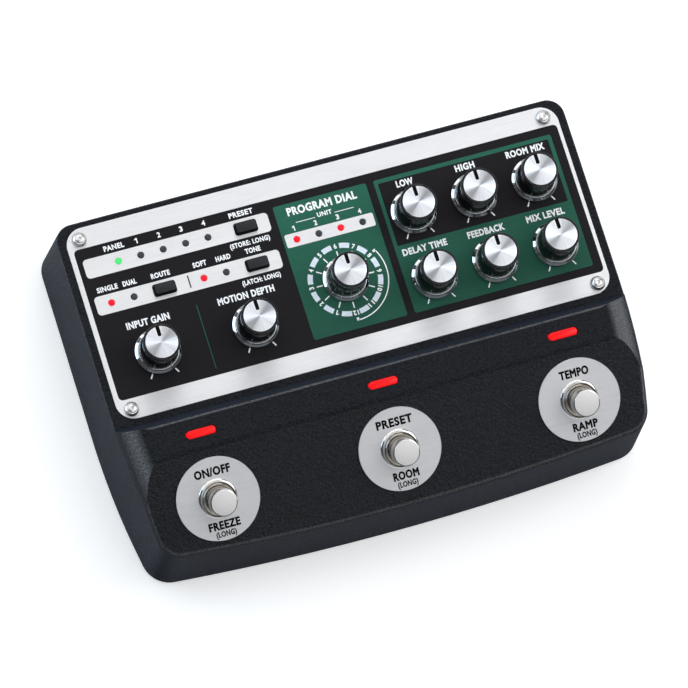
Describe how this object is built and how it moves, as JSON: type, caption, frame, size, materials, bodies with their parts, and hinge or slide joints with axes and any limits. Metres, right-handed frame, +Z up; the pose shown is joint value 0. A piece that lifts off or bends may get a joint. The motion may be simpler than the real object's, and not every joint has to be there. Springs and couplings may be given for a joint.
{
  "type": "tape echo pedal",
  "caption": "Low die-cast floor pedal with a sloped foot shelf, printed face plate, black knobs with spun caps, status lamps, push buttons and latching footswitches.",
  "frame": {"origin": "on the ground under the middle of the pedal's overall box", "axes": "+X towards the player's right, +Y towards the rear connectors, +Z up"},
  "size_m": [0.192, 0.133, 0.052],
  "materials": {
    "case_paint": "fine textured powder coat",
    "plate_print": "brushed with printed panels",
    "screw_chrome": "polished",
    "board_green": "solder mask",
    "board_screw_steel": "zinc plated",
    "pot_steel": "plain",
    "lamp_lens": "clear",
    "tact_black": "moulded",
    "base_paint": "powder coat",
    "base_screw_black": "black oxide",
    "foot_rubber": "matt",
    "jack_black": "moulded",
    "jack_nut_nickel": "nickel plated",
    "socket_steel": "tin plated",
    "indicator_red": "translucent",
    "disc_print": "brushed and printed",
    "switch_nickel": "nickel plated",
    "switch_body": "moulded with nickel bushing",
    "plunger_nickel": "satin nickel",
    "button_black": "moulded",
    "knob_black": "glossy",
    "knob_trim": "spun and polished",
    "shaft_steel": "turned"
  },
  "bodies": {
    "case": {"top_case": "case_paint", "face_plate": "plate_print", "face_plate_screws": "screw_chrome", "panel_board": "board_green", "board_screws": "board_screw_steel", "pots": "pot_steel", "status_lamps": "lamp_lens", "tact_switches": "tact_black", "base_plate": "base_paint", "base_screws": "base_screw_black", "rubber_feet": "foot_rubber", "main_board": "board_green", "jack_nuts": "jack_nut_nickel", "mini_jacks": "jack_black", "usb_socket": "socket_steel", "dc_jack": "jack_black", "indicator_lenses": "indicator_red", "indicator_board": "board_green", "switch_discs": "disc_print", "switch_nuts": "switch_nickel", "footswitch_bodies": "switch_body", "jack_input_a": "jack_black", "jack_input_b": "jack_black", "jack_output_a": "jack_black", "jack_output_b": "jack_black", "jack_control": "jack_black"},
    "saturation_control": {"knob_saturation": "knob_black", "trim_saturation": "knob_trim", "shaft_saturation": "shaft_steel"},
    "wow_flutter_control": {"knob_wow_flutter": "knob_black", "trim_wow_flutter": "knob_trim", "shaft_wow_flutter": "shaft_steel"},
    "mode_control": {"knob_mode": "knob_black", "trim_mode": "knob_trim", "shaft_mode": "shaft_steel"},
    "bass_control": {"knob_bass": "knob_black", "trim_bass": "knob_trim", "shaft_bass": "shaft_steel"},
    "treble_control": {"knob_treble": "knob_black", "trim_treble": "knob_trim", "shaft_treble": "shaft_steel"},
    "reverb_control": {"knob_reverb": "knob_black", "trim_reverb": "knob_trim", "shaft_reverb": "shaft_steel"},
    "rate_control": {"knob_rate": "knob_black", "trim_rate": "knob_trim", "shaft_rate": "shaft_steel"},
    "intensity_control": {"knob_intensity": "knob_black", "trim_intensity": "knob_trim", "shaft_intensity": "shaft_steel"},
    "echo_control": {"knob_echo": "knob_black", "trim_echo": "knob_trim", "shaft_echo": "shaft_steel"},
    "plunger_left": {"plunger_left": "plunger_nickel"},
    "plunger_middle": {"plunger_middle": "plunger_nickel"},
    "plunger_right": {"plunger_right": "plunger_nickel"},
    "button_memory": {"button_memory": "button_black"},
    "button_input": {"button_input": "button_black"},
    "button_tape": {"button_tape": "button_black"}
  },
  "joints": [
    {"name": "saturation_turn", "type": "hinge", "parent": "case", "child": "saturation_control", "pos_m": [-0.071, 0.0095, 0.0389], "axis": [0, 0, 1], "range_deg": [-150, 150]},
    {"name": "wow_flutter_turn", "type": "hinge", "parent": "case", "child": "wow_flutter_control", "pos_m": [-0.0355, 0.0095, 0.0389], "axis": [0, 0, 1], "range_deg": [-150, 150]},
    {"name": "mode_turn", "type": "hinge", "parent": "case", "child": "mode_control", "pos_m": [0, 0.0171, 0.0389], "axis": [0, 0, 1], "range_deg": [-180, 150]},
    {"name": "bass_turn", "type": "hinge", "parent": "case", "child": "bass_control", "pos_m": [0.0305, 0.0342, 0.0389], "axis": [0, 0, 1], "range_deg": [-150, 150]},
    {"name": "treble_turn", "type": "hinge", "parent": "case", "child": "treble_control", "pos_m": [0.053, 0.0342, 0.0389], "axis": [0, 0, 1], "range_deg": [-150, 150]},
    {"name": "reverb_turn", "type": "hinge", "parent": "case", "child": "reverb_control", "pos_m": [0.0755, 0.0342, 0.0389], "axis": [0, 0, 1], "range_deg": [-150, 150]},
    {"name": "rate_turn", "type": "hinge", "parent": "case", "child": "rate_control", "pos_m": [0.0305, 0.00975, 0.0389], "axis": [0, 0, 1], "range_deg": [-150, 150]},
    {"name": "intensity_turn", "type": "hinge", "parent": "case", "child": "intensity_control", "pos_m": [0.053, 0.00975, 0.0389], "axis": [0, 0, 1], "range_deg": [-150, 150]},
    {"name": "echo_turn", "type": "hinge", "parent": "case", "child": "echo_control", "pos_m": [0.0755, 0.00975, 0.0389], "axis": [0, 0, 1], "range_deg": [-150, 150]},
    {"name": "left_press", "type": "slide", "parent": "case", "child": "plunger_left", "axis": [0, 0.3975, -0.9176], "range_m": [0, 0.003], "stiffness_N_per_m": 1500, "springref_m": -0.003},
    {"name": "middle_press", "type": "slide", "parent": "case", "child": "plunger_middle", "axis": [0, 0.3975, -0.9176], "range_m": [0, 0.003], "stiffness_N_per_m": 1500, "springref_m": -0.003},
    {"name": "right_press", "type": "slide", "parent": "case", "child": "plunger_right", "axis": [0, 0.3975, -0.9176], "range_m": [0, 0.003], "stiffness_N_per_m": 1500, "springref_m": -0.003},
    {"name": "button_memory_press", "type": "slide", "parent": "case", "child": "button_memory", "axis": [0, 0, -1], "range_m": [0, 0.0004], "stiffness_N_per_m": 1500, "springref_m": -0.0005},
    {"name": "button_input_press", "type": "slide", "parent": "case", "child": "button_input", "axis": [0, 0, -1], "range_m": [0, 0.0004], "stiffness_N_per_m": 1500, "springref_m": -0.0005},
    {"name": "button_tape_press", "type": "slide", "parent": "case", "child": "button_tape", "axis": [0, 0, -1], "range_m": [0, 0.0004], "stiffness_N_per_m": 1500, "springref_m": -0.0005}
  ]
}
